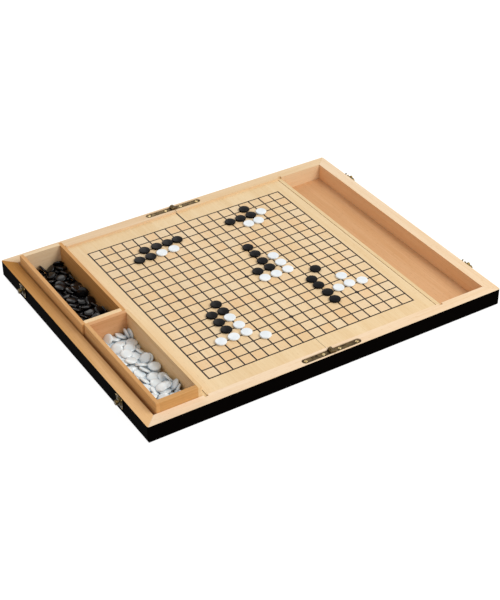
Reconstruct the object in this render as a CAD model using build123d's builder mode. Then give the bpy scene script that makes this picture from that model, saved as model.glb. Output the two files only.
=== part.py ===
from build123d import *
import os

# A folding board for the game of go, opened flat on a table, with two lift-out stone trays.
# The case is two shallow halves joined along the middle by two small brass hinges. Each half
# has a playing surface with nine and a half columns of the grid, and beyond it an open
# compartment. The trays stand in the left compartment. Shut, the right half lies upside down
# on the left one and its compartment goes over the trays.
# Millimetres. X runs along the open case, Y from front to back, Z up from the table.
# The origin is the centre of the open case's footprint, on the table.

# ---- case ----
case_length = 460.0
case_depth = 362.0
rim_height = 23.5
rim_width = 14.5
fold_gap = 0.3  # between the halves at the fold, and between the two rims when shut
edge_round = 5.5  # lower outer edges
fold_round = 2.0  # lower edges along the fold
corner_round = 2.0  # upright outer corners
bottom_thick = 3.0
spine_width = 12.0
housing = 3.0  # depth of the grooves and housings cut in the rails
glue_gap = 0.1  # room in a wooden joint
divider_thick = 4.5
compartment_width = 59.5
ledge_width = 6.0
ledge_height = 6.0

# ---- playing surface ----
board_thick = 3.5
board_line = 0.8  # dark joint line between the playing surface and the divider
lines = 19
grid_end_margin = 15.7  # from the outermost line to the panel's edge
grid_side_margin = 24.3  # from the outermost line to the rail
line_width = 1.1
line_depth = 0.25
star_radius = 1.5
star_step = 6  # lines from one star point to the next

# ---- hinges ----
hinge_slot_length = 77.0  # over both halves
hinge_slot_width = 8.5
hinge_margin = 2.25  # wood left outside the slot
leaf_thick = 1.0
leaf_drop = 1.0  # leaf below the rim
leaf_gap = 0.15
knuckle_radius = 3.0
knuckle_gap = 0.15
knuckle_room = 0.4  # around the knuckles in the rails
hinge_pin_radius = 1.0
hinge_pin_fit = 0.05
screw_inner = 10.5  # from the fold
screw_inset = 5.0  # outer screw, from the slot's end
screw_shank_radius = 0.9
screw_head_radius = 2.0
screw_head_height = 0.7
screw_length = 8.0
screw_slot_width = 0.5
screw_slot_depth = 0.35
screw_slot_turn = 30  # degrees
screw_hole_gap = 0.05

# ---- clasps ----
clasp_inset = 61.0  # from the case's front and back
clasp_drop = 7.5  # plates' middle below the rim
plate_width = 14.0
plate_height = 13.0
plate_thick = 0.8
plate_corner = 1.5
boss_radius = 5.6  # raised round middle of a clasp plate
boss_rise = 1.4
boss_slope = 45  # degrees
pivot_offset = 2.0  # pivot and stud from the plate's middle, towards the front
pivot_rise = 2.0  # and above it
nail_inset = 1.0
nail_head_radius = 0.75
nail_head_height = 0.5
nail_shank_radius = 0.4
nail_length = 6.0
nail_hole_gap = 0.05
lever_gap = 0.2  # between the lever and what lies under or over it
lever_thick = 1.2
lever_width = 3.2
lever_eye_radius = 2.6
lever_mouth_radius = 1.6
lever_mouth_wall = 1.3
lever_knob_radius = 2.2
lever_knob_place = 5.4  # from the pivot
lever_rest_angle = 15  # degrees, pointing a little upwards
rivet_radius = 1.2
rivet_fit = 0.08
rivet_head_radius = 2.8
rivet_head_height = 2.2
rivet_depth = 4.0  # into the end rail
stud_head_radius = 3.0
clasp_reach = 7.0  # knob and stud heads stand this far off the end rail
head_round = 0.6

# ---- stone trays ----
tray_height = 33.0
tray_side_room = 5.1  # compartment wider than a tray
tray_end_room = 5.6  # finger room behind the back tray
tray_side_thick = 4.5
tray_end_thick = 5.5
tray_floor_thick = 3.0
tray_round = 0.8  # top edges and upright corners
tray_gap = 0.3  # between the trays, and at the front rail
tray_stagger = 1.2  # the front tray stands this much nearer to the fold, the back one further
tray_lift_gap = 0.05  # a tray's bottom clear of the compartment's floor

# ---- stones ----
stone_diameter = 13.6
stone_thick = 3.0
stone_edge = 2.2  # height of the rounded rim
stone_gap = 0.05  # under and between stones that lie on each other
stone_spacing = 0.3  # between stones side by side
stone_room = 0.2  # between stones face to face when the case is shut
tray_stone_layers = 3

# ---- places worked out from the sizes above ----
half_length = case_length / 2
half_depth = case_depth / 2
fold_face = fold_gap / 2
fold_axis_z = rim_height + fold_gap / 2
inner_x = half_length - rim_width
inner_y = half_depth - rim_width
housing_y = inner_y + housing
recess = stone_thick + stone_gap + (stone_room - fold_gap) / 2
board_top = rim_height - recess
board_bottom = board_top - board_thick
divider_outer = inner_x - compartment_width
divider_inner = divider_outer - divider_thick
board_edge = divider_inner - board_line
spine_inner = fold_face + spine_width
grid_reach_x = board_edge - grid_end_margin
grid_reach_y = inner_y - grid_side_margin
pitch_x = 2 * grid_reach_x / (lines - 1)
pitch_y = 2 * grid_reach_y / (lines - 1)
screw_outer = hinge_slot_length / 2 - screw_inset
clasp_y = half_depth - clasp_inset
slot_y = half_depth - hinge_margin - hinge_slot_width / 2
slot_floor = rim_height - leaf_drop - leaf_thick
leaf_top = slot_floor + leaf_thick
barrel_length = hinge_slot_width - 2 * leaf_gap
knuckle_length = (barrel_length - 2 * knuckle_gap) / 3
plate_z = rim_height - clasp_drop
pivot_z = plate_z + pivot_rise
lever_length = 2 * (fold_axis_z - pivot_z)
boss_top = plate_thick + boss_rise
lever_back = boss_top + lever_gap
lever_front = lever_back + lever_thick
tray_floor_z = bottom_thick + tray_lift_gap
tray_width = compartment_width - tray_side_room
tray_length = (2 * (inner_y - tray_gap) - tray_end_room) / 2

os.makedirs("parts", exist_ok=True)


def write(piece, name):
    """Label a finished piece and write it to its own file."""
    piece.label = name
    export_step(piece, f"parts/{name}.step")


def write_halves(piece, name):
    """A piece of the right half, and its mirror image in the left half."""
    write(piece, f"right_{name}")
    write(mirror(piece, about=Plane.YZ), f"left_{name}")


# ---- block: the outer shape of the right half, from which its rails are cut ----
with BuildPart() as block:
    with BuildSketch() as footprint:
        with Locations((fold_face, 0)):
            Rectangle(half_length - fold_face, case_depth, align=(Align.MIN, Align.CENTER))
    extrude(amount=rim_height)
    fillet(block.faces().sort_by(Axis.Z)[0].edges().sort_by(Axis.X)[1:], edge_round)
    with BuildSketch(Plane.XZ) as fold_corner:
        with Locations((fold_face, 0)):
            Rectangle(fold_round, fold_round, align=(Align.MIN, Align.MIN))
        with Locations((fold_face + fold_round, fold_round)):
            Circle(fold_round, mode=Mode.SUBTRACT)
    extrude(amount=half_depth, both=True, mode=Mode.SUBTRACT)
    with BuildSketch() as rounded_footprint:
        with Locations((fold_face, 0)):
            Rectangle(half_length - fold_face, case_depth, align=(Align.MIN, Align.CENTER))
        fillet(rounded_footprint.vertices().group_by(Axis.X)[-1], corner_round)
    extrude(amount=rim_height, mode=Mode.INTERSECT)


# ---- bottom panel: let into a rebate in all four rails of its half ----
panel_start = spine_inner - housing + glue_gap
panel_end = inner_x + housing - glue_gap

with BuildPart() as bottom_panel:
    with BuildSketch() as panel_outline:
        with Locations((panel_start, 0)):
            Rectangle(panel_end - panel_start, 2 * (housing_y - glue_gap), align=(Align.MIN, Align.CENTER))
    extrude(amount=bottom_thick)

write_halves(bottom_panel.part, "bottom_panel")


# ---- long rails: front and back, mitred at the case corner, square at the fold ----
with BuildPart() as long_rail:
    add(block.part)
    with BuildSketch() as mitred_strip:
        with BuildLine() as strip_outline:
            Polyline(
                (fold_face, -half_depth),
                (half_length, -half_depth),
                (inner_x, -inner_y),
                (fold_face, -inner_y),
                close=True,
            )
        make_face()
    extrude(amount=rim_height, mode=Mode.INTERSECT)
    # rebate for the bottom panel
    with BuildSketch() as rebate:
        with Locations((spine_inner - housing, -housing_y)):
            Rectangle(inner_x - spine_inner + 2 * housing, housing, align=(Align.MIN, Align.MIN))
    extrude(amount=bottom_thick, mode=Mode.SUBTRACT)
    # groove for the playing surface's edge
    with BuildSketch(Plane.XY.offset(board_bottom)) as groove:
        with Locations((0, -housing_y)):
            Rectangle(divider_inner, housing, align=(Align.MIN, Align.MIN))
    extrude(amount=board_thick, mode=Mode.SUBTRACT)
    # housing for the divider's end, open at the rim
    with BuildSketch(Plane.XY.offset(bottom_thick)) as divider_housing:
        with Locations((divider_inner - glue_gap, -housing_y)):
            Rectangle(divider_thick + 2 * glue_gap, housing, align=(Align.MIN, Align.MIN))
    extrude(amount=rim_height - bottom_thick, mode=Mode.SUBTRACT)
    # round-ended slot for the hinge leaf, with a trough for the knuckles
    with BuildSketch(Plane.XY.offset(slot_floor)) as hinge_slot:
        with Locations((0, -slot_y)):
            SlotOverall(hinge_slot_length, hinge_slot_width)
    extrude(amount=rim_height - slot_floor, mode=Mode.SUBTRACT)
    with BuildSketch(Plane.XZ.offset(slot_y - hinge_slot_width / 2)) as knuckle_trough:
        with Locations((0, fold_axis_z)):
            Circle(knuckle_radius + knuckle_room)
    extrude(amount=hinge_slot_width, mode=Mode.SUBTRACT)
    # pilot holes for the leaf's two screws
    with Locations(Plane.XY.offset(slot_floor)):
        with Locations((screw_inner, -slot_y), (screw_outer, -slot_y)):
            Hole(screw_shank_radius + screw_hole_gap, screw_length - leaf_thick)

write_halves(long_rail.part, "front_rail")
write_halves(mirror(long_rail.part, about=Plane.XZ), "back_rail")


# ---- end rails: mitred at both ends, drilled for a clasp near the front and one near the back ----
clasp_places = [-clasp_y, clasp_y]
nail_offset_y = plate_width / 2 - nail_inset
nail_offset_z = plate_height / 2 - nail_inset

with BuildPart() as end_rail:
    add(block.part)
    with BuildSketch() as end_strip:
        with BuildLine() as end_outline:
            Polyline(
                (half_length, -half_depth),
                (half_length, half_depth),
                (inner_x, inner_y),
                (inner_x, -inner_y),
                close=True,
            )
        make_face()
    extrude(amount=rim_height, mode=Mode.INTERSECT)
    with BuildSketch() as end_rebate:
        with Locations((inner_x, 0)):
            Rectangle(housing, 2 * housing_y, align=(Align.MIN, Align.CENTER))
    extrude(amount=bottom_thick, mode=Mode.SUBTRACT)
    for place in clasp_places:
        with Locations(Plane.YZ.offset(half_length)):
            with Locations((place - pivot_offset, pivot_z)):
                Hole(rivet_radius + nail_hole_gap, rivet_depth)
            with Locations((place, plate_z)):
                with GridLocations(2 * nail_offset_y, 2 * nail_offset_z, 2, 2):
                    Hole(nail_shank_radius + nail_hole_gap, nail_length)

write_halves(end_rail.part, "end_rail")


# ---- spine rail: carries the playing surface along the fold, with its lower edge rounded ----
with BuildPart() as spine_rail:
    add(block.part)
    with BuildSketch() as spine_strip:
        with Locations((fold_face, 0)):
            Rectangle(spine_width, 2 * inner_y, align=(Align.MIN, Align.CENTER))
    extrude(amount=board_bottom, mode=Mode.INTERSECT)
    with BuildSketch() as spine_rebate:
        with Locations((spine_inner - housing, 0)):
            Rectangle(housing, 2 * inner_y, align=(Align.MIN, Align.CENTER))
    extrude(amount=bottom_thick, mode=Mode.SUBTRACT)

write_halves(spine_rail.part, "spine_rail")


# ---- playing surface: a thin panel with the grid's lines and star points cut in its top ----
column_places = [(column * pitch_x, 0) for column in range(lines // 2 + 1)]
row_places = [(0, row * pitch_y - grid_reach_y) for row in range(lines)]
star_places = [
    (across * star_step * pitch_x, along * star_step * pitch_y) for across in (0, 1) for along in (-1, 0, 1)
]

with BuildPart() as board_panel:
    with BuildSketch(Plane.XY.offset(board_bottom)) as board_outline:
        with Locations((fold_face, 0)):
            Rectangle(board_edge - fold_face, 2 * (housing_y - glue_gap), align=(Align.MIN, Align.CENTER))
    extrude(amount=board_thick)
    with BuildSketch(Plane.XY.offset(board_top)) as grid_lines:
        with Locations(*column_places):
            Rectangle(line_width, 2 * grid_reach_y + line_width)
        with Locations(*row_places):
            Rectangle(grid_reach_x + line_width / 2, line_width, align=(Align.MIN, Align.CENTER))
        with Locations(*star_places):
            Circle(star_radius)
    extrude(amount=-line_depth, mode=Mode.SUBTRACT)

write_halves(board_panel.part, "board_panel")


# ---- divider: stands between the playing surface and the compartment, its ends housed in the rails ----
with BuildPart() as divider:
    with BuildSketch(Plane.XY.offset(bottom_thick)) as divider_outline:
        with Locations((divider_inner, 0)):
            Rectangle(divider_thick, 2 * (housing_y - glue_gap), align=(Align.MIN, Align.CENTER))
    extrude(amount=board_top - bottom_thick)

write_halves(divider.part, "divider")


# ---- ledge: glued to the divider, it carries the playing surface's outer edge ----
with BuildPart() as ledge:
    with BuildSketch(Plane.XY.offset(board_bottom - ledge_height)) as ledge_outline:
        with Locations((divider_inner - ledge_width, 0)):
            Rectangle(ledge_width, 2 * (inner_y - glue_gap), align=(Align.MIN, Align.CENTER))
    extrude(amount=ledge_height)

write_halves(ledge.part, "panel_ledge")


# ---- hinges: two leaves with interlocking knuckles on one pin, let into the rim ----
# The left leaf has the two outer knuckles and the right leaf the middle one.
knuckle_step = knuckle_length + knuckle_gap
outer_knuckles = [-slot_y - knuckle_step, -slot_y + knuckle_step]
middle_knuckle = [-slot_y]


def hinge_leaf(own_knuckles, other_knuckles):
    """A leaf to the right of the fold in the front rail, with its knuckles around the fold axis."""
    with BuildPart() as leaf:
        with BuildSketch(Plane.XY.offset(slot_floor)) as leaf_outline:
            with Locations((0, -slot_y)):
                SlotOverall(hinge_slot_length - 2 * leaf_gap, barrel_length)
        extrude(amount=leaf_thick)
        split(bisect_by=Plane.YZ.offset(fold_face), keep=Keep.TOP)
        with Locations(Plane.XY.offset(leaf_top)):
            with Locations((screw_inner, -slot_y), (screw_outer, -slot_y)):
                Hole(screw_shank_radius + screw_hole_gap, leaf_thick)
        for place in other_knuckles:
            with BuildSketch(Plane.XZ.offset(-place - knuckle_step / 2)) as notch:
                with Locations((0, fold_axis_z)):
                    Circle(knuckle_radius + knuckle_gap)
            extrude(amount=knuckle_step, mode=Mode.SUBTRACT)
        for place in own_knuckles:
            with BuildSketch(Plane.XZ.offset(-place - knuckle_length / 2)) as knuckle:
                with Locations((0, fold_axis_z)):
                    Circle(knuckle_radius)
            extrude(amount=knuckle_length)
        with BuildSketch(Plane.XZ.offset(slot_y - hinge_slot_width)) as bore:
            with Locations((0, fold_axis_z)):
                Circle(hinge_pin_radius + hinge_pin_fit)
        extrude(amount=2 * hinge_slot_width, mode=Mode.SUBTRACT)
    return leaf.part


right_leaf = hinge_leaf(middle_knuckle, outer_knuckles)
left_leaf = mirror(hinge_leaf(outer_knuckles, middle_knuckle), about=Plane.YZ)
write(right_leaf, "front_hinge_right_leaf")
write(left_leaf, "front_hinge_left_leaf")
write(mirror(right_leaf, about=Plane.XZ), "back_hinge_right_leaf")
write(mirror(left_leaf, about=Plane.XZ), "back_hinge_left_leaf")

with BuildPart() as hinge_pin:
    with BuildSketch(Plane.XZ.offset(slot_y - barrel_length / 2)) as pin_section:
        with Locations((0, fold_axis_z)):
            Circle(hinge_pin_radius)
    extrude(amount=barrel_length)

write(hinge_pin.part, "front_hinge_pin")
write(mirror(hinge_pin.part, about=Plane.XZ), "back_hinge_pin")


# ---- hinge screws: domed slotted heads on the leaves, two to a leaf ----
screw_places = [(x, y) for x in (screw_inner, screw_outer) for y in (-slot_y, slot_y)]

with BuildPart() as hinge_screws:
    with BuildSketch(Plane.XY.offset(leaf_top - screw_length)) as shanks:
        with Locations(*screw_places):
            Circle(screw_shank_radius)
    extrude(amount=screw_length)
    with BuildSketch(Plane.XY.offset(leaf_top)) as screw_heads:
        with Locations(*screw_places):
            Circle(screw_head_radius)
    extrude(amount=screw_head_height)
    fillet(hinge_screws.faces().group_by(Axis.Z)[-1].edges(), screw_head_height / 2)
    with BuildSketch(Plane.XY.offset(leaf_top + screw_head_height)) as driver_slots:
        with Locations(*screw_places):
            Rectangle(2 * screw_head_radius, screw_slot_width, rotation=screw_slot_turn)
    extrude(amount=-screw_slot_depth, mode=Mode.SUBTRACT)

write_halves(hinge_screws.part, "hinge_screws")


# ---- clasp plates: pressed brass with a raised round middle, four nails each ----
# The right end has the hooks' plates and the left end the catch plates, the same but mirrored.
end_face = Plane.YZ.offset(half_length)


def clasp_plate(place):
    """A plate on the right end rail at the given distance from the middle."""
    with BuildPart() as plate:
        with BuildSketch(end_face) as plate_outline:
            with Locations((place, plate_z)):
                RectangleRounded(plate_width, plate_height, plate_corner)
        extrude(amount=plate_thick)
        with BuildSketch(end_face.offset(plate_thick)) as boss:
            with Locations((place, plate_z)):
                Circle(boss_radius)
        extrude(amount=boss_rise, taper=boss_slope)
        with Locations(end_face.offset(boss_top)):
            with Locations((place - pivot_offset, pivot_z)):
                Hole(rivet_radius + nail_hole_gap, boss_top)
            with Locations((place, plate_z)):
                with GridLocations(2 * nail_offset_y, 2 * nail_offset_z, 2, 2):
                    Hole(nail_shank_radius + nail_hole_gap, boss_top)
    return plate.part


for side, place in (("front", -clasp_y), ("back", clasp_y)):
    plate = clasp_plate(place)
    write(plate, f"{side}_hook_plate")
    write(mirror(plate, about=Plane.YZ), f"{side}_catch_plate")

with BuildPart() as plate_nails:
    for place in clasp_places:
        with BuildSketch(end_face.offset(plate_thick - nail_length)) as nail_shanks:
            with Locations((place, plate_z)):
                with GridLocations(2 * nail_offset_y, 2 * nail_offset_z, 2, 2):
                    Circle(nail_shank_radius)
        extrude(amount=nail_length)
        with BuildSketch(end_face.offset(plate_thick)) as nail_heads:
            with Locations((place, plate_z)):
                with GridLocations(2 * nail_offset_y, 2 * nail_offset_z, 2, 2):
                    Circle(nail_head_radius)
        extrude(amount=nail_head_height)
    fillet(plate_nails.faces().group_by(Axis.X)[-1].edges(), nail_head_height / 2)

write_halves(plate_nails.part, "plate_nails")


# ---- hooks: flat levers that lie along the right end and swing up to the studs when it is shut ----
def hook(place):
    """A lever pointing to the back from its pivot, its mouth open upwards."""
    rest = Location((place - pivot_offset, pivot_z, 0), (0, 0, lever_rest_angle))
    mouth_outer = lever_mouth_radius + lever_mouth_wall
    with BuildPart() as lever:
        with BuildSketch(end_face.offset(lever_back)) as lever_outline:
            with Locations(rest):
                Circle(lever_eye_radius)
                Rectangle(lever_length, lever_width, align=(Align.MIN, Align.CENTER))
                with Locations((lever_length, 0)):
                    Circle(mouth_outer)
                with Locations((lever_length, 0)):
                    Circle(lever_mouth_radius, mode=Mode.SUBTRACT)
                    Rectangle(
                        2 * lever_mouth_radius,
                        mouth_outer,
                        align=(Align.CENTER, Align.MIN),
                        mode=Mode.SUBTRACT,
                    )
                Circle(rivet_radius + rivet_fit, mode=Mode.SUBTRACT)
        extrude(amount=lever_thick)
        with BuildSketch(end_face.offset(lever_front)) as knob:
            with Locations(rest):
                with Locations((lever_knob_place, 0)):
                    Circle(lever_knob_radius)
        extrude(amount=clasp_reach - lever_front)
        fillet(lever.faces().sort_by(Axis.X)[-1].edges(), head_round)
    return lever.part


write(hook(-clasp_y), "front_hook")
write(hook(clasp_y), "back_hook")


# ---- rivets: the hooks' pivots, headed over the levers ----
rivet_head_back = lever_front + lever_gap
pivot_places = [(place - pivot_offset, pivot_z) for place in clasp_places]

with BuildPart() as hook_rivets:
    with BuildSketch(end_face.offset(-rivet_depth)) as rivet_shanks:
        with Locations(*pivot_places):
            Circle(rivet_radius)
    extrude(amount=rivet_depth + rivet_head_back)
    with BuildSketch(end_face.offset(rivet_head_back)) as rivet_heads:
        with Locations(*pivot_places):
            Circle(rivet_head_radius)
    extrude(amount=rivet_head_height)
    fillet(hook_rivets.faces().group_by(Axis.X)[-1].edges(), head_round)

write(hook_rivets.part, "hook_rivets")


# ---- studs: headed pins on the left end that the hooks close over ----
with BuildPart() as catch_studs:
    with BuildSketch(end_face.offset(-rivet_depth)) as stud_shanks:
        with Locations(*pivot_places):
            Circle(rivet_radius)
    extrude(amount=rivet_depth + rivet_head_back)
    with BuildSketch(end_face.offset(rivet_head_back)) as stud_heads:
        with Locations(*pivot_places):
            Circle(stud_head_radius)
    extrude(amount=clasp_reach - rivet_head_back)
    fillet(catch_studs.faces().group_by(Axis.X)[-1].edges(), head_round)

write(mirror(catch_studs.part, about=Plane.YZ), "catch_studs")


# ---- stone: a lens with a rounded rim ----
stone_radius = stone_diameter / 2
rim_reach = stone_radius - stone_edge / 4

with BuildPart() as stone:
    with BuildSketch(Plane.XZ) as stone_section:
        with BuildLine() as stone_outline:
            top = ThreePointArc(
                (-rim_reach, stone_edge / 2),
                (0, stone_thick / 2),
                (rim_reach, stone_edge / 2),
            )
            ThreePointArc(top @ 1, (stone_radius, 0), (rim_reach, -stone_edge / 2))
            ThreePointArc(
                (rim_reach, -stone_edge / 2),
                (0, -stone_thick / 2),
                (-rim_reach, -stone_edge / 2),
            )
            ThreePointArc((-rim_reach, -stone_edge / 2), (-stone_radius, 0), top @ 0)
        make_face()
        split(bisect_by=Plane.YZ, keep=Keep.TOP)
    revolve(axis=Axis.Z)


def stones(places):
    """Stones with their middles at the given places, as one group of separate solids."""
    with BuildPart() as group:
        with Locations(*places):
            add(stone.part)
    return group.part


# ---- stone trays: open boxes that lift out, each with its heap of spare stones ----
compartment_middle = -(divider_outer + compartment_width / 2)
front_tray_y = -inner_y + tray_gap + tray_length / 2
back_tray_y = front_tray_y + tray_length + tray_gap
tray_inner_width = tray_width - 2 * tray_side_thick
tray_inner_length = tray_length - 2 * tray_end_thick
tray_stone_pitch = stone_diameter + stone_spacing
tray_stone_z = tray_floor_z + tray_floor_thick + stone_gap + stone_thick / 2


def tray(name, middle_x, middle_y):
    """Four walls around a floor, standing on the floor of the left compartment."""
    outline_plane = Plane((middle_x, middle_y, tray_floor_z))
    with BuildPart() as body:
        with BuildSketch(outline_plane) as body_outline:
            Rectangle(tray_width, tray_length)
        extrude(amount=tray_height)
        fillet(body.edges().filter_by(Axis.Z), tray_round)
        fillet(body.faces().sort_by(Axis.Z)[-1].edges(), tray_round)
        with BuildSketch(outline_plane) as hollow:
            Rectangle(tray_inner_width, tray_inner_length)
        extrude(amount=tray_height, mode=Mode.SUBTRACT)
    for side, reach in (("left", -1), ("right", 1)):
        with BuildPart() as side_wall:
            add(body.part)
            with BuildSketch(outline_plane) as side_strip:
                with Locations((reach * (tray_width - tray_side_thick) / 2, 0)):
                    Rectangle(tray_side_thick, tray_length)
            extrude(amount=tray_height, mode=Mode.INTERSECT)
        write(side_wall.part, f"{name}_{side}_wall")
    for side, reach in (("front", -1), ("back", 1)):
        with BuildPart() as end_wall:
            add(body.part)
            with BuildSketch(outline_plane) as end_strip_outline:
                with Locations((0, reach * (tray_length - tray_end_thick) / 2)):
                    Rectangle(tray_inner_width, tray_end_thick)
            extrude(amount=tray_height, mode=Mode.INTERSECT)
        write(end_wall.part, f"{name}_{side}_wall")
    with BuildPart() as floor:
        with BuildSketch(outline_plane) as floor_outline:
            Rectangle(tray_inner_width, tray_inner_length)
        extrude(amount=tray_floor_thick)
    write(floor.part, f"{name}_floor")


def tray_stones(middle_x, middle_y):
    """Layers of stones lying flat on a tray's floor, in columns and rows."""
    column_count = int(tray_inner_width // tray_stone_pitch)
    row_count = int(tray_inner_length // tray_stone_pitch)
    columns = [column - (column_count - 1) / 2 for column in range(column_count)]
    rows = [row - (row_count - 1) / 2 for row in range(row_count)]
    places = [
        (
            middle_x + column * tray_stone_pitch,
            middle_y + row * tray_stone_pitch,
            tray_stone_z + layer * (stone_thick + stone_gap),
        )
        for layer in range(tray_stone_layers)
        for column in columns
        for row in rows
    ]
    return stones(places)


for name, middle_x, middle_y in (
    ("white_tray", compartment_middle + tray_stagger, front_tray_y),
    ("black_tray", compartment_middle - tray_stagger, back_tray_y),
):
    tray(name, middle_x, middle_y)
    write(tray_stones(middle_x, middle_y), f"{name}_stones")


# ---- stones in play: a game laid by hand, each stone a little off its crossing ----
def stones_in_play(name, game_places):
    """Stones lying on the grid, at columns counted from the left and rows from the front."""
    stone_z = board_top + stone_gap + stone_thick / 2
    places = [
        (column * pitch_x - grid_reach_x, row * pitch_y - grid_reach_y, stone_z)
        for column, row in game_places
    ]
    write(stones(places), name)


stones_in_play(
    "left_black_stones",
    [(3.99, 16.03), (5.09, 16.03), (6.09, 16.03), (6.99, 16.03), (2.99, 15.03), (3.99, 15.03)]
    + [(4.99, 7.03), (4.99, 6.03), (3.99, 6.03), (3.99, 5.03), (3.99, 4.03)],
)
stones_in_play(
    "left_white_stones",
    [(4.99, 15.03), (6.09, 15.03)]
    + [(4.99, 5.13), (5.09, 4.03), (5.09, 3.03), (3.99, 3.03), (2.89, 3.03), (6.09, 2.03)],
)
stones_in_play(
    "right_black_stones",
    [(13.99, 17.03), (11.99, 16.03), (12.99, 16.03), (13.99, 16.03)]
    + [(11.19, 12.18), (11.19, 11.13), (11.14, 10.03), (11.14, 9.03), (10.04, 9.03)]
    + [(14.04, 7.03), (12.99, 6.03), (12.99, 5.13), (13.04, 4.03), (12.99, 3.03)],
)
stones_in_play(
    "right_white_stones",
    [(14.99, 16.03), (13.14, 15.03), (14.09, 15.03)]
    + [(12.24, 10.18), (12.24, 9.13), (12.19, 8.08), (11.09, 8.03), (10.04, 8.03)]
    + [(15.19, 5.23), (15.14, 4.13), (16.19, 3.93), (14.09, 4.08)],
)
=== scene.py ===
import math
import random

import bpy
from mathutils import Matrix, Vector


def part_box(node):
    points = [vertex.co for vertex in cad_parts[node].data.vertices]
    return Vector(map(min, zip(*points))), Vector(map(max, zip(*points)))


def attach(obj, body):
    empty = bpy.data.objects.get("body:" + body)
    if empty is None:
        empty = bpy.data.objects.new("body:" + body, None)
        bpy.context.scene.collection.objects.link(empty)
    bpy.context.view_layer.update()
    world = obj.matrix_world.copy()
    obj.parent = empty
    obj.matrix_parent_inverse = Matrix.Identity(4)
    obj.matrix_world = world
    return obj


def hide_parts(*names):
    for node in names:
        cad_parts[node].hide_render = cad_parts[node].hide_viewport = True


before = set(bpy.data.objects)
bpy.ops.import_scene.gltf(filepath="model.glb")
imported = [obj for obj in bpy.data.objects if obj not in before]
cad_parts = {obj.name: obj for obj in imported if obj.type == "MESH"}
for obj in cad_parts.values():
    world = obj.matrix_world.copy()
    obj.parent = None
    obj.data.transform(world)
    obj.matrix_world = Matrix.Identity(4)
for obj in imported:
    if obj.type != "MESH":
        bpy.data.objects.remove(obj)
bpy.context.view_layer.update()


# ---- camera: looks down on the open case from its front left corner ----
# A long lens, about one and a half metres away, as the case was photographed.
bpy.ops.object.camera_add(
    location=(-0.7306, -1.1906, 0.9700),
    rotation=[math.radians(angle) for angle in (54.864, 0.332, -31.919)],
)
camera = bpy.context.object
camera.name = "camera"
camera.data.lens = 86.83
camera.data.sensor_width = 36
bpy.context.scene.camera = camera
bpy.context.scene.view_settings.view_transform = "Standard"


# ---- studio: a white table and walls, with a large soft lamp at the front right ----
# The table and the walls show as plain white and keep only the faint shadow of the case.
def hex_colour(code):
    """A colour written as sRGB hex digits, as linear red, green, blue and alpha."""
    shares = [int(code[place : place + 2], 16) / 255 for place in (1, 3, 5)]
    linear = [share / 12.92 if share <= 0.04045 else ((share + 0.055) / 1.055) ** 2.4 for share in shares]
    return (*linear, 1.0)


def add_node(tree, kind, inputs, **settings):
    """One shader node: its settings, and for each input a value or the output that feeds it."""
    node = tree.nodes.new("ShaderNode" + kind)
    for name, value in settings.items():
        setattr(node, name, value)
    for name, value in inputs.items():
        if isinstance(value, bpy.types.NodeSocket):
            tree.links.new(value, node.inputs[name])
        else:
            node.inputs[name].default_value = value
    return node


def calculate(tree, operation, *values):
    """The result of one sum, product or comparison of values and outputs."""
    return add_node(tree, "Math", dict(enumerate(values)), operation=operation).outputs[0]


def remap(tree, value, low=0.0, high=1.0, to_low=0.0, to_high=1.0):
    """A value between low and high, spread over the range from to_low to to_high."""
    ends = {"From Min": low, "From Max": high, "To Min": to_low, "To Max": to_high}
    return add_node(tree, "MapRange", {"Value": value, **ends}).outputs[0]


def mix_colours(tree, share, first, second, kind="MIX"):
    """The first colour where share is 0, the second where it is 1; each is hex digits or an output."""
    colours = [hex_colour(colour) if isinstance(colour, str) else colour for colour in (first, second)]
    inputs = {"Factor": share, 6: colours[0], 7: colours[1]}
    return add_node(tree, "Mix", inputs, data_type="RGBA", blend_type=kind).outputs[2]


def new_material(name):
    """An empty material by that name, with its node tree."""
    material = bpy.data.materials.new(name)
    material.use_nodes = True
    material.node_tree.nodes.clear()
    return material, material.node_tree


def seen_directly(tree):
    """1 for a ray from the camera or one mirrored or let through on its way, 0 for light on the object."""
    path = add_node(tree, "LightPath", {}).outputs
    mirrored = calculate(tree, "MAXIMUM", path["Is Glossy Ray"], path["Is Transmission Ray"])
    return calculate(tree, "MAXIMUM", path["Is Camera Ray"], mirrored)


table_white, tree = new_material("table_matt_white_paint")
paint = add_node(tree, "BsdfDiffuse", {"Color": hex_colour("#F2F1EF")})
soft_paint = add_node(tree, "BsdfDiffuse", {"Color": hex_colour("#8C8B89")})
glow = add_node(tree, "Emission", {"Color": hex_colour("#FFFFFF"), "Strength": 0.93})
bright_paint = add_node(tree, "AddShader", {0: soft_paint.outputs[0], 1: glow.outputs[0]})
shown = add_node(
    tree, "MixShader", {"Fac": seen_directly(tree), 1: paint.outputs[0], 2: bright_paint.outputs[0]}
)
add_node(tree, "OutputMaterial", {"Surface": shown.outputs[0]})

bpy.ops.mesh.primitive_plane_add(size=12, location=(0, 0, -0.0003))
table = bpy.context.object
table.name = "table"
table.data.materials.append(table_white)

walls = bpy.data.worlds.new("studio_walls")
walls.use_nodes = True
walls.node_tree.nodes.clear()
lit_walls = add_node(walls.node_tree, "Background", {"Color": hex_colour("#FFFDFA"), "Strength": 0.5})
white_walls = add_node(walls.node_tree, "Background", {"Color": hex_colour("#FFFFFF"), "Strength": 1.0})
seen_walls = add_node(
    walls.node_tree,
    "MixShader",
    {"Fac": seen_directly(walls.node_tree), 1: lit_walls.outputs[0], 2: white_walls.outputs[0]},
)
add_node(walls.node_tree, "OutputWorld", {"Surface": seen_walls.outputs[0]})
bpy.context.scene.world = walls

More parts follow.
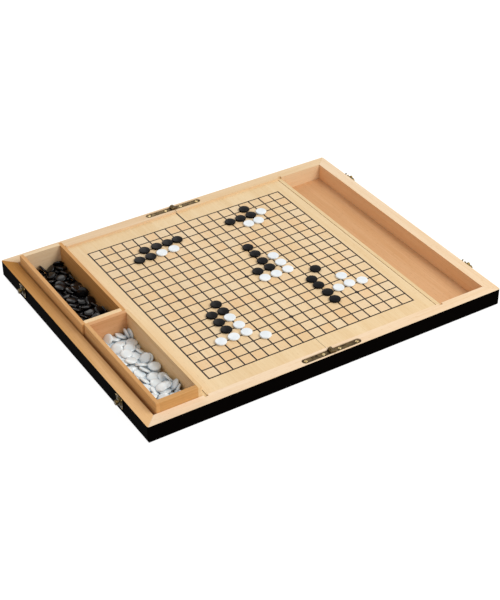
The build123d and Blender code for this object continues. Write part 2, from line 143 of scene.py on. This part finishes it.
for lamp_name, place, width, power in (
    ("key_softbox", (0.8, -1.1, 1.55), 1.1, 26),
    ("back_softbox", (0.3, 1.7, 1.3), 1.0, 5),
):
    bpy.ops.object.light_add(type="AREA", location=place)
    lamp = bpy.context.object
    lamp.name = lamp_name
    lamp.data.size = width
    lamp.data.energy = power
    lamp.data.color = hex_colour("#FFFAF2")[:3]
    lamp.rotation_euler = (-lamp.location).to_track_quat("-Z", "Y").to_euler()


# ---- rails: pale maple strips, mitred at the corners, bare on top and inside ----
# The outer faces, the underside and the faces that meet at the fold are sprayed with black
# lacquer, which stops in a sharp line at the rim's top edge.
half_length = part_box("right_front_rail")[1].x
half_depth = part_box("right_back_rail")[1].y
rim_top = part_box("right_front_rail")[1].z
rail_width = half_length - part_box("right_end_rail")[0].x
lacquer_lap = 0.0007
lacquer_skin = 0.0002
lacquer_edge = 0.00004
lower_round = 0.0056
fold_round = 0.0023
fold_round_height = 0.0022


def lacquer_mask(tree, coordinates):
    """1 on the case's outer faces, underside, rounded lower edges and fold faces, 0 on bare wood."""
    place = add_node(tree, "SeparateXYZ", {"Vector": coordinates}).outputs
    away_x = calculate(tree, "ABSOLUTE", place["X"])
    away_y = calculate(tree, "ABSOLUTE", place["Y"])
    tests = {
        "end": (away_x, "GREATER_THAN", half_length - lacquer_lap),
        "side": (away_y, "GREATER_THAN", half_depth - lacquer_lap),
        "under": (place["Z"], "LESS_THAN", lacquer_skin),
        "fold": (away_x, "LESS_THAN", lacquer_skin),
        "near_end": (away_x, "GREATER_THAN", half_length - lower_round),
        "near_side": (away_y, "GREATER_THAN", half_depth - lower_round),
        "low": (place["Z"], "LESS_THAN", lower_round),
        "near_fold": (away_x, "LESS_THAN", fold_round),
        "lowest": (place["Z"], "LESS_THAN", fold_round_height),
        "below_top": (place["Z"], "LESS_THAN", rim_top - lacquer_edge),
    }
    passed = {
        name: calculate(tree, operation, value, limit)
        for name, (value, operation, limit) in tests.items()
    }
    steps = (
        ("outside", "MAXIMUM", "end", "side"),
        ("bottom", "MAXIMUM", "under", "fold"),
        ("near", "MAXIMUM", "near_end", "near_side"),
        ("lower_edge", "MULTIPLY", "near", "low"),
        ("fold_edge", "MULTIPLY", "near_fold", "lowest"),
        ("faces", "MAXIMUM", "outside", "bottom"),
        ("edges", "MAXIMUM", "lower_edge", "fold_edge"),
        ("all", "MAXIMUM", "faces", "edges"),
        ("lacquered", "MULTIPLY", "all", "below_top"),
    )
    for name, operation, first, second in steps:
        passed[name] = calculate(tree, operation, passed[first], passed[second])
    return passed["lacquered"]


def grain(tree, coordinates, along, length, width, detail=3.0, seed=0.0):
    """Noise drawn out along one axis, in streaks of a length and width in millimetres."""
    stretch = [1000 / length if axis == along else 1000 / width for axis in "XYZ"]
    streaks = add_node(
        tree, "Mapping", {"Vector": coordinates, "Scale": stretch, "Location": (seed, seed, seed)}
    )
    return add_node(
        tree, "TexNoise", {"Vector": streaks.outputs[0], "Scale": 1.0, "Detail": detail, "Roughness": 0.55}
    ).outputs["Fac"]


def wood_colour(tree, coordinates, along, pale, deep, fleck, seed):
    """Board-wide tone, fine streaks and short flecks, in the colours of one kind of wood."""
    tone = grain(tree, coordinates, along, 260, 16, 2.0, seed)
    tone = remap(tree, tone, 0.32, 0.68)
    streak = grain(tree, coordinates, along, 70, 1.6, 4.0, seed + 3)
    streak = remap(tree, streak, 0.3, 0.7)
    dash = grain(tree, coordinates, along, 5, 0.7, 1.0, seed + 7)
    dash = remap(tree, dash, 0.62, 0.75, to_high=0.35)
    share = add_node(tree, "Mix", {"Factor": 0.5, 2: tone, 3: streak}).outputs[0]
    body = mix_colours(tree, share, pale, deep)
    return mix_colours(tree, dash, body, fleck), streak


def bare_wood(
    name, along, pale, deep, fleck, seed, lacquered=False, mitre_line=None, inner_shade_tint=None, back_shade_tint=None
):
    """Planed and waxed wood, with black lacquer where the case is sprayed. Where given, an inner tint on
    the inner face is partly painted shade, and a back tint is painted shade that grows darker towards the
    back.
    """
    material, tree = new_material(name)
    coordinates = add_node(tree, "TexCoord", {}).outputs["Object"]
    place = add_node(tree, "SeparateXYZ", {"Vector": coordinates}).outputs
    away_x = calculate(tree, "ABSOLUTE", place["X"])
    away_y = calculate(tree, "ABSOLUTE", place["Y"])
    colour, streak = wood_colour(tree, coordinates, along, pale, deep, fleck, seed)
    rough = remap(tree, streak, to_low=0.48, to_high=0.6)
    shine = 0.001 if lacquered else 0.3
    if mitre_line:
        offset = calculate(tree, "SUBTRACT", away_x, away_y)
        on_line = calculate(tree, "COMPARE", offset, half_length - half_depth, mitre_line)
        joint = calculate(tree, "MULTIPLY", on_line, 0.55)
        colour = mix_colours(tree, joint, colour, "#7A5230")
    # Painted shade: the rail's inner face is multiplied by a warmer, darker tint, partly the wood's own
    # tone and partly the shade that this face lies in.
    if inner_shade_tint:
        inner_face = half_length - rail_width + 0.0001
        inside = calculate(tree, "LESS_THAN", away_x, inner_face)
        colour = mix_colours(tree, inside, colour, inner_shade_tint, kind="MULTIPLY")
    # Painted shade: the colour is multiplied towards the back tint along the rail, so it grows darker
    # towards the back.
    if back_shade_tint:
        share = remap(tree, place["Y"], -half_depth, half_depth)
        colour = mix_colours(tree, share, colour, back_shade_tint, kind="MULTIPLY")
    if lacquered:
        mask = lacquer_mask(tree, coordinates)
        speckle = grain(tree, coordinates, along, 9, 9, 3.0, seed + 11)
        black = mix_colours(tree, speckle, "#040303", "#080605")
        colour = mix_colours(tree, mask, colour, black)
        gloss = remap(tree, speckle, 0.3, 0.7, 0.3, 0.4)
        rough = add_node(tree, "Mix", {"Factor": mask, 2: rough, 3: gloss}).outputs[0]
    relief = add_node(tree, "Bump", {"Strength": 0.25, "Distance": 0.00006, "Height": streak}).outputs[0]
    shader = add_node(
        tree,
        "BsdfPrincipled",
        {"Base Color": colour, "Roughness": rough, "Specular IOR Level": shine, "Normal": relief},
    )
    add_node(tree, "OutputMaterial", {"Surface": shader.outputs[0]})
    return material


def finish_nodes(material, *names):
    """Give those nodes of the model this material in place of their plain one."""
    for name in names:
        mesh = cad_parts[name].data
        mesh.materials.clear()
        mesh.materials.append(material)


mitre_width = 0.00012
for rail, along, pale, deep, inner_shade_tint, back_shade_tint in (
    ("left_front_rail", "X", "#FAE6CD", "#EFD2AE", None, None),
    ("right_front_rail", "X", "#F9E4CA", "#EDCFAA", None, None),
    ("left_back_rail", "X", "#F3DABB", "#E4C39B", None, None),
    ("right_back_rail", "X", "#F4DCBC", "#E6C79D", None, None),
    # Left end rail: its deeper tones are partly its own wood and partly painted shade of the trays; its
    # back tint is painted shade.
    ("left_end_rail", "Y", "#F4CC9D", "#DEB072", None, "#CBB083"),
    # Right end rail: the inner-face tint is partly its own wood and partly painted shade.
    ("right_end_rail", "Y", "#F8E3C8", "#EBCCA6", "#FFE8D0", None),
):
    maple = bare_wood(
        f"planed_maple_{rail}",
        along,
        pale,
        deep,
        fleck="#C99E6E",
        seed=14.0 + 5.0 * len(rail),
        lacquered=True,
        mitre_line=mitre_width,
        inner_shade_tint=inner_shade_tint,
        back_shade_tint=back_shade_tint,
    )
    finish_nodes(maple, rail)

spine_maple = bare_wood(
    "planed_maple_spine", "Y", pale="#F3DCBC", deep="#E4C296", fleck="#BE935F", seed=21.0, lacquered=True
)
finish_nodes(spine_maple, "left_spine_rail", "right_spine_rail")


# ---- dividers and ledges: thin strips that close off the compartments and carry the panels ----
# Sawn from the same pale wood as the rails, waxed but not lacquered.
strip_maple = bare_wood(
    "planed_maple_strips", "Y", pale="#EFD8B0", deep="#DDBD88", fleck="#B78B55", seed=33.0
)
finish_nodes(strip_maple, "left_divider", "right_divider", "left_panel_ledge", "right_panel_ledge")


# ---- bottom panels: birch plywood let into the rails, the floor of both compartments ----
# The inner face is a pinkish beech veneer laid along the case, the underside black lacquer.
floor_beech = bare_wood(
    "beech_veneer_floor", "Y", pale="#DDB289", deep="#CC9B6C", fleck="#A97346", seed=47.0, lacquered=True
)
finish_nodes(floor_beech, "left_bottom_panel", "right_bottom_panel")


# ---- playing surface: thin panels veneered in ash, with the grid's lines cut and stained ----
# Each cell takes a slightly different tint; nine crossings, six cells apart, have a small dot.
board_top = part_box("right_board_panel")[1].z
grid_reach = (0.135, 0.1422)
cell_size = (0.015, 0.0158)
stain_reach = 0.0009
groove_edge = 0.00003
groove_depth = 0.0003
star_step = (6 * cell_size[0], 6 * cell_size[1])
star_radius = 0.0025

veneer, tree = new_material("ash_veneer_playing_surface")
coordinates = add_node(tree, "TexCoord", {}).outputs["Object"]
margin_colour, streak = wood_colour(tree, coordinates, "Y", "#F2DBB4", "#E4C596", "#C59F68", 61.0)
field_colour = wood_colour(tree, coordinates, "Y", "#F3DBB6", "#E5C495", "#BE9259", 73.0)[0]
place = add_node(tree, "SeparateXYZ", {"Vector": coordinates}).outputs
away_x = calculate(tree, "ABSOLUTE", place["X"])
away_y = calculate(tree, "ABSOLUTE", place["Y"])
cells = add_node(
    tree, "Mapping", {"Vector": coordinates, "Scale": (1 / cell_size[0], 1 / cell_size[1], 0.0)}
).outputs[0]
cell_number = add_node(tree, "VectorMath", {0: cells}, operation="FLOOR").outputs[0]
chance = add_node(tree, "TexWhiteNoise", {"Vector": cell_number}, noise_dimensions="3D").outputs["Color"]
dice = add_node(tree, "SeparateColor", {"Color": chance}).outputs
warm = remap(tree, dice["Red"], 0.55, to_high=0.3)
cool = remap(tree, dice["Green"], 0.6, to_high=0.35)
tinted = mix_colours(tree, warm, field_colour, "#E8B377")
tinted = mix_colours(tree, cool, tinted, "#EADBC0")

wood_tests = {
    "inside_x": (away_x, "LESS_THAN", grid_reach[0]),
    "inside_y": (away_y, "LESS_THAN", grid_reach[1]),
    "below": (place["Z"], "LESS_THAN", board_top - groove_edge),
    "above_floor": (place["Z"], "GREATER_THAN", board_top - groove_depth),
    "from_column": (place["X"], "PINGPONG", cell_size[0] / 2),
    "from_row": (place["Y"], "PINGPONG", cell_size[1] / 2),
    "near_x": (away_x, "LESS_THAN", grid_reach[0] + stain_reach),
    "near_y": (away_y, "LESS_THAN", grid_reach[1] + stain_reach),
    "at_fold": (away_x, "LESS_THAN", stain_reach),
    "back_half": (place["Y"], "GREATER_THAN", 0.0),
}
found = {
    name: calculate(tree, operation, value, limit)
    for name, (value, operation, limit) in wood_tests.items()
}
for name, operation, first, second in (
    ("field", "MULTIPLY", "inside_x", "inside_y"),
    ("in_groove", "MULTIPLY", "below", "above_floor"),
    ("from_line", "MINIMUM", "from_column", "from_row"),
    ("near_grid", "MULTIPLY", "near_x", "near_y"),
    ("fold_line", "MULTIPLY", "at_fold", "back_half"),
):
    found[name] = calculate(tree, operation, found[first], found[second])
bled = calculate(tree, "LESS_THAN", found["from_line"], stain_reach)
line = calculate(tree, "MULTIPLY", bled, found["near_grid"])
line = calculate(tree, "MAXIMUM", line, found["fold_line"])
from_star_x = calculate(tree, "PINGPONG", place["X"], star_step[0] / 2)
from_star_y = calculate(tree, "PINGPONG", place["Y"], star_step[1] / 2)
from_star = add_node(tree, "CombineXYZ", {"X": from_star_x, "Y": from_star_y}).outputs[0]
from_star = add_node(tree, "VectorMath", {0: from_star}, operation="LENGTH").outputs["Value"]
star = calculate(tree, "LESS_THAN", from_star, star_radius)
star = calculate(tree, "MULTIPLY", star, found["near_grid"])
line = calculate(tree, "MAXIMUM", line, star)
stained = calculate(tree, "MAXIMUM", line, found["in_groove"])

colour = mix_colours(tree, found["field"], margin_colour, tinted)
colour = mix_colours(tree, stained, colour, "#1E1004")
lacquer = lacquer_mask(tree, coordinates)
colour = mix_colours(tree, lacquer, colour, "#0A0807")
wax = remap(tree, streak, to_low=0.42, to_high=0.52)
relief = add_node(tree, "Bump", {"Strength": 0.2, "Distance": 0.00005, "Height": streak}).outputs[0]
shader = add_node(
    tree,
    "BsdfPrincipled",
    {"Base Color": colour, "Roughness": wax, "Normal": relief, "Specular IOR Level": 0.3},
)
add_node(tree, "OutputMaterial", {"Surface": shader.outputs[0]})
finish_nodes(veneer, "left_board_panel", "right_board_panel")


# ---- trays: open boxes of beech, glued at the corners, that lift out of the left compartment ----
# Each wall is a strip of its own, with its own grain; three are paler than the rest. Their tones are
# partly the wood's own and partly painted light and shade, with each wall's colour matched to how its
# faces are lit in the case.
for number, (strip, along, pale, deep) in enumerate((
    ("white_tray_left_wall", "Y", "#E4B47B", "#CE9657"),
    ("white_tray_right_wall", "Y", "#F0D2A6", "#E0B981"),
    ("white_tray_front_wall", "X", "#D9A86C", "#C38C4C"),
    ("white_tray_back_wall", "X", "#E6B588", "#D29A66"),
    ("white_tray_floor", "Y", "#DCB07C", "#C8965E"),
    ("black_tray_left_wall", "Y", "#E2AF74", "#CB9050"),
    ("black_tray_right_wall", "Y", "#DDA868", "#C58A4A"),
    ("black_tray_front_wall", "X", "#F8DFBA", "#ECC997"),
    ("black_tray_back_wall", "X", "#F3DCBB", "#E6C79B"),
    ("black_tray_floor", "Y", "#DCB07C", "#C8965E"),
)):
    beech = bare_wood(f"planed_beech_{strip}", along, pale, deep, fleck="#A56F3A", seed=90.0 + 7 * number)
    finish_nodes(beech, strip)


# ---- hinges, plates and hooks: pressed brass that has gone brown, with brighter rubbed spots ----
# Punched from sheet, so the faces are smooth and the tarnish lies in soft patches: dull and dark
# on the leaves and plates, clean and shiny on the hooks, screws and nails that hands rub.
# The hinge leaves' dark brown is partly that tarnish and partly painted shade and dark reflection of their
# slots.
def brass(name, clean, tarnished, patch, low_rough, high_rough, cut_height=None):
    """Brass with patches of tarnish of a size in millimetres, darker in cuts below a height."""
    material, tree = new_material(name)
    coordinates = add_node(tree, "TexCoord", {}).outputs["Object"]
    spots = grain(tree, coordinates, "X", patch, patch, 4.0, 4.0)
    amount = remap(tree, spots, 0.35, 0.62)
    colour = mix_colours(tree, amount, tarnished, clean)
    rough = remap(tree, amount, to_low=high_rough, to_high=low_rough)
    scratches = grain(tree, coordinates, "X", 14, 0.25, 2.0, 9.0)
    if cut_height:
        height = add_node(tree, "SeparateXYZ", {"Vector": coordinates}).outputs["Z"]
        in_cut = calculate(tree, "LESS_THAN", height, cut_height)
        colour = mix_colours(tree, in_cut, colour, "#2A2113")
    relief = add_node(tree, "Bump", {"Strength": 0.2, "Distance": 0.00004, "Height": scratches}).outputs[0]
    shader = add_node(
        tree,
        "BsdfPrincipled",
        {"Base Color": colour, "Metallic": 1.0, "Roughness": rough, "Normal": relief},
    )
    add_node(tree, "OutputMaterial", {"Surface": shader.outputs[0]})
    return material


# Painted shade: the hinge colours are darkened to stand for the shade and dark reflection in the slots.
hinge_brass = brass("tarnished_shaded_brass_hinges", "#6E5D3F", "#362A19", 4.0, 0.32, 0.5)
plate_brass = brass("tarnished_brass_plates", "#5A4B2B", "#271F12", 5.0, 0.32, 0.5)
rubbed_brass = brass("rubbed_brass_hooks", "#A38B55", "#3F331D", 3.0, 0.25, 0.42)
for end in ("front", "back"):
    finish_nodes(hinge_brass, f"{end}_hinge_left_leaf", f"{end}_hinge_right_leaf", f"{end}_hinge_pin")
    finish_nodes(plate_brass, f"{end}_hook_plate", f"{end}_catch_plate")
    finish_nodes(rubbed_brass, f"{end}_hook")
finish_nodes(rubbed_brass, "hook_rivets")
finish_nodes(plate_brass, "catch_studs")

screw_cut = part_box("right_hinge_screws")[1].z - 0.0003
screw_brass = brass("bright_brass_screws", "#E6D2A2", "#B79A62", 2.5, 0.22, 0.35, cut_height=screw_cut)
nail_brass = brass("bright_brass_nails", "#DCC68F", "#A88A52", 2.0, 0.25, 0.4)
finish_nodes(screw_brass, "left_hinge_screws", "right_hinge_screws")
finish_nodes(nail_brass, "left_plate_nails", "right_plate_nails")


# ---- stones: moulded glass lenses, polished, black ones and milk-white ones ----
# The gloss is soft, with a faint orange-peel surface from the mould.
def moulded_glass(name, body, shade, rough, shine):
    """Polished opaque glass with a slight change of tone from stone to stone."""
    material, tree = new_material(name)
    coordinates = add_node(tree, "TexCoord", {}).outputs["Object"]
    cloud = grain(tree, coordinates, "X", 9, 9, 2.0, 2.0)
    cloud = remap(tree, cloud, 0.35, 0.65)
    colour = mix_colours(tree, cloud, body, shade)
    peel = grain(tree, coordinates, "X", 1.2, 1.2, 2.0, 6.0)
    relief = add_node(tree, "Bump", {"Strength": 0.15, "Distance": 0.00003, "Height": peel}).outputs[0]
    shader = add_node(
        tree,
        "BsdfPrincipled",
        {"Base Color": colour, "Roughness": rough, "Specular IOR Level": shine, "Normal": relief},
    )
    add_node(tree, "OutputMaterial", {"Surface": shader.outputs[0]})
    return material


black_glass = moulded_glass("black_moulded_glass", "#0A080A", "#100E10", 0.2, 0.07)
white_glass = moulded_glass("white_moulded_glass", "#F1F8FF", "#E6EFF8", 0.28, 0.4)
spare_black_glass = moulded_glass("black_moulded_glass_spare", "#0A090C", "#121114", 0.18, 0.3)
spare_white_glass = moulded_glass("white_moulded_glass_spare", "#EEF8FF", "#E6F2FB", 0.22, 0.9)
finish_nodes(black_glass, "left_black_stones", "right_black_stones")
finish_nodes(white_glass, "left_white_stones", "right_white_stones")


# ---- spare stones: ninety of each colour tipped into their trays ----
# They are dropped in by a short simulation, ten centimetres for each millimetre, so that they
# come to rest leaning on each other and on the walls as real ones do.
drop_scale = 100.0
stone_radius = 0.0068
stone_edge = 0.0022
stone_dome = 0.0004
stone_rim = 0.0006
stone_rows = 10
stone_layers = 9
loose_layer_step = 0.0145
lowest_stone = 0.0016
barrier_thick = 0.005
drop_room = 0.12
tray_friction = 0.4
stone_friction = 0.45


def shape_stone():
    """A low-sided drum with a softened rim and a slightly domed top and bottom."""
    bpy.ops.object.select_all(action="DESELECT")
    bpy.ops.mesh.primitive_cylinder_add(
        vertices=16, radius=stone_radius * drop_scale, depth=stone_edge * drop_scale, end_fill_type="NGON"
    )
    drum = bpy.context.object
    bpy.ops.object.mode_set(mode="EDIT")
    bpy.ops.mesh.select_mode(type="FACE")
    bpy.ops.mesh.select_all(action="DESELECT")
    bpy.ops.object.mode_set(mode="OBJECT")
    for face in drum.data.polygons:
        face.select = abs(face.normal.z) > 0.9
    bpy.ops.object.mode_set(mode="EDIT")
    bpy.ops.mesh.bevel(offset=stone_rim * drop_scale, segments=1)
    bpy.ops.object.mode_set(mode="OBJECT")
    for side in (1, -1):
        bpy.ops.object.mode_set(mode="EDIT")
        bpy.ops.mesh.select_all(action="DESELECT")
        bpy.ops.object.mode_set(mode="OBJECT")
        for face in drum.data.polygons:
            face.select = face.normal.z * side > 0.99
        bpy.ops.object.mode_set(mode="EDIT")
        bpy.ops.mesh.inset(thickness=stone_radius * drop_scale * 0.45)
        bpy.ops.transform.translate(value=(0, 0, side * stone_dome * drop_scale))
        bpy.ops.object.mode_set(mode="OBJECT")
    bpy.ops.object.shade_smooth()
    return drum


def tray_hollow(tray):
    """The lowest and highest corner of the room inside a tray."""
    floor_low, floor_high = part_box(f"{tray}_floor")
    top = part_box(f"{tray}_left_wall")[1].z
    return (floor_low.x, floor_low.y, floor_high.z), (floor_high.x, floor_high.y, top)


def add_barrier(low, high):
    """A fixed block that keeps the falling stones in."""
    middle = [(first + second) / 2 * drop_scale for first, second in zip(low, high)]
    size = [(second - first) * drop_scale for first, second in zip(low, high)]
    bpy.ops.mesh.primitive_cube_add(size=1, location=middle, scale=size)
    block = bpy.context.object
    bpy.ops.object.transform_apply(location=False, rotation=False, scale=True)
    bpy.ops.rigidbody.object_add(type="PASSIVE")
    block.rigid_body.collision_shape = "BOX"
    block.rigid_body.use_margin = True
    block.rigid_body.collision_margin = 0.0
    block.rigid_body.friction = tray_friction
    return block


def pour(tray, pattern, chance):
    """Copies of the stone in loose layers above a tray's floor, and the fixed blocks around them."""
    low, high = tray_hollow(tray)
    far_low = [side - barrier_thick for side in low]
    far_high = [side + barrier_thick for side in high]
    rim = high[2] + drop_room
    blocks = []
    blocks = [
        add_barrier(far_low, (far_high[0], far_high[1], low[2])),
        add_barrier((far_low[0], far_low[1], low[2]), (low[0], far_high[1], rim)),
        add_barrier((high[0], far_low[1], low[2]), (far_high[0], far_high[1], rim)),
        add_barrier((low[0], far_low[1], low[2]), (high[0], low[1], rim)),
        add_barrier((low[0], high[1], low[2]), (high[0], far_high[1], rim)),
    ]
    row_step = (high[1] - low[1]) / stone_rows
    layer_step = loose_layer_step
    tilt = math.pi / 2
    poured = []
    for layer in range(stone_layers):
        for row in range(stone_rows):
            stone = pattern.copy()
            stone.data = pattern.data.copy()
            bpy.context.collection.objects.link(stone)
            across = chance.uniform(low[0] + stone_radius, high[0] - stone_radius)
            stone.location = (
                across * drop_scale,
                (low[1] + (row + 0.5) * row_step) * drop_scale,
                (low[2] + lowest_stone + (layer + (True)) * layer_step) * drop_scale,
            )
            stone.rotation_euler = (
                chance.uniform(-tilt, tilt),
                chance.uniform(-tilt, tilt),
                chance.uniform(0, 2 * math.pi),
            )
            poured.append(stone)
    return poured, blocks


pattern_stone = shape_stone()
chance = random.Random(19)
bpy.ops.object.select_all(action="DESELECT")
bpy.ops.rigidbody.world_add()
rigid_world = bpy.context.scene.rigidbody_world
rigid_world.substeps_per_frame = 12
rigid_world.solver_iterations = 20
heaps = {}
barriers = []
for tray in ("white_tray", "black_tray"):
    heaps[tray], blocks = pour(tray, pattern_stone, chance)
    barriers += blocks

bpy.ops.object.select_all(action="DESELECT")
for stone in heaps["white_tray"] + heaps["black_tray"]:
    stone.select_set(True)
bpy.context.view_layer.objects.active = heaps["white_tray"][0]
bpy.ops.rigidbody.objects_add(type="ACTIVE")
for stone in heaps["white_tray"] + heaps["black_tray"]:
    stone.rigid_body.collision_shape = "CONVEX_HULL"
    stone.rigid_body.use_margin = True
    stone.rigid_body.collision_margin = 0.004
    stone.rigid_body.friction = stone_friction
    stone.rigid_body.restitution = 0.05
    stone.rigid_body.linear_damping = 0.1
    stone.rigid_body.angular_damping = 0.25
last_frame = 110
rigid_world.point_cache.frame_end = last_frame
for number in range(1, last_frame + 1):
    bpy.context.scene.frame_set(number)
bpy.ops.object.visual_transform_apply()
bpy.ops.rigidbody.world_remove()
bpy.context.scene.frame_set(1)

for block in barriers:
    bpy.data.objects.remove(block)
bpy.data.objects.remove(pattern_stone)

for tray, material in (("white_tray", spare_white_glass), ("black_tray", spare_black_glass)):
    bpy.ops.object.select_all(action="DESELECT")
    for stone in heaps[tray]:
        stone.select_set(True)
    bpy.context.view_layer.objects.active = heaps[tray][0]
    bpy.ops.object.join()
    pile = bpy.context.object
    pile.name = f"{tray}_heap"
    bpy.ops.object.transform_apply(location=True, rotation=True, scale=True)
    bpy.ops.transform.resize(value=(1 / drop_scale,) * 3, center_override=(0, 0, 0))
    bpy.ops.object.transform_apply(location=True, rotation=True, scale=True)
    pile.data.materials.clear()
    pile.data.materials.append(material)
    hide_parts(f"{tray}_stones")
    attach(pile, tray)
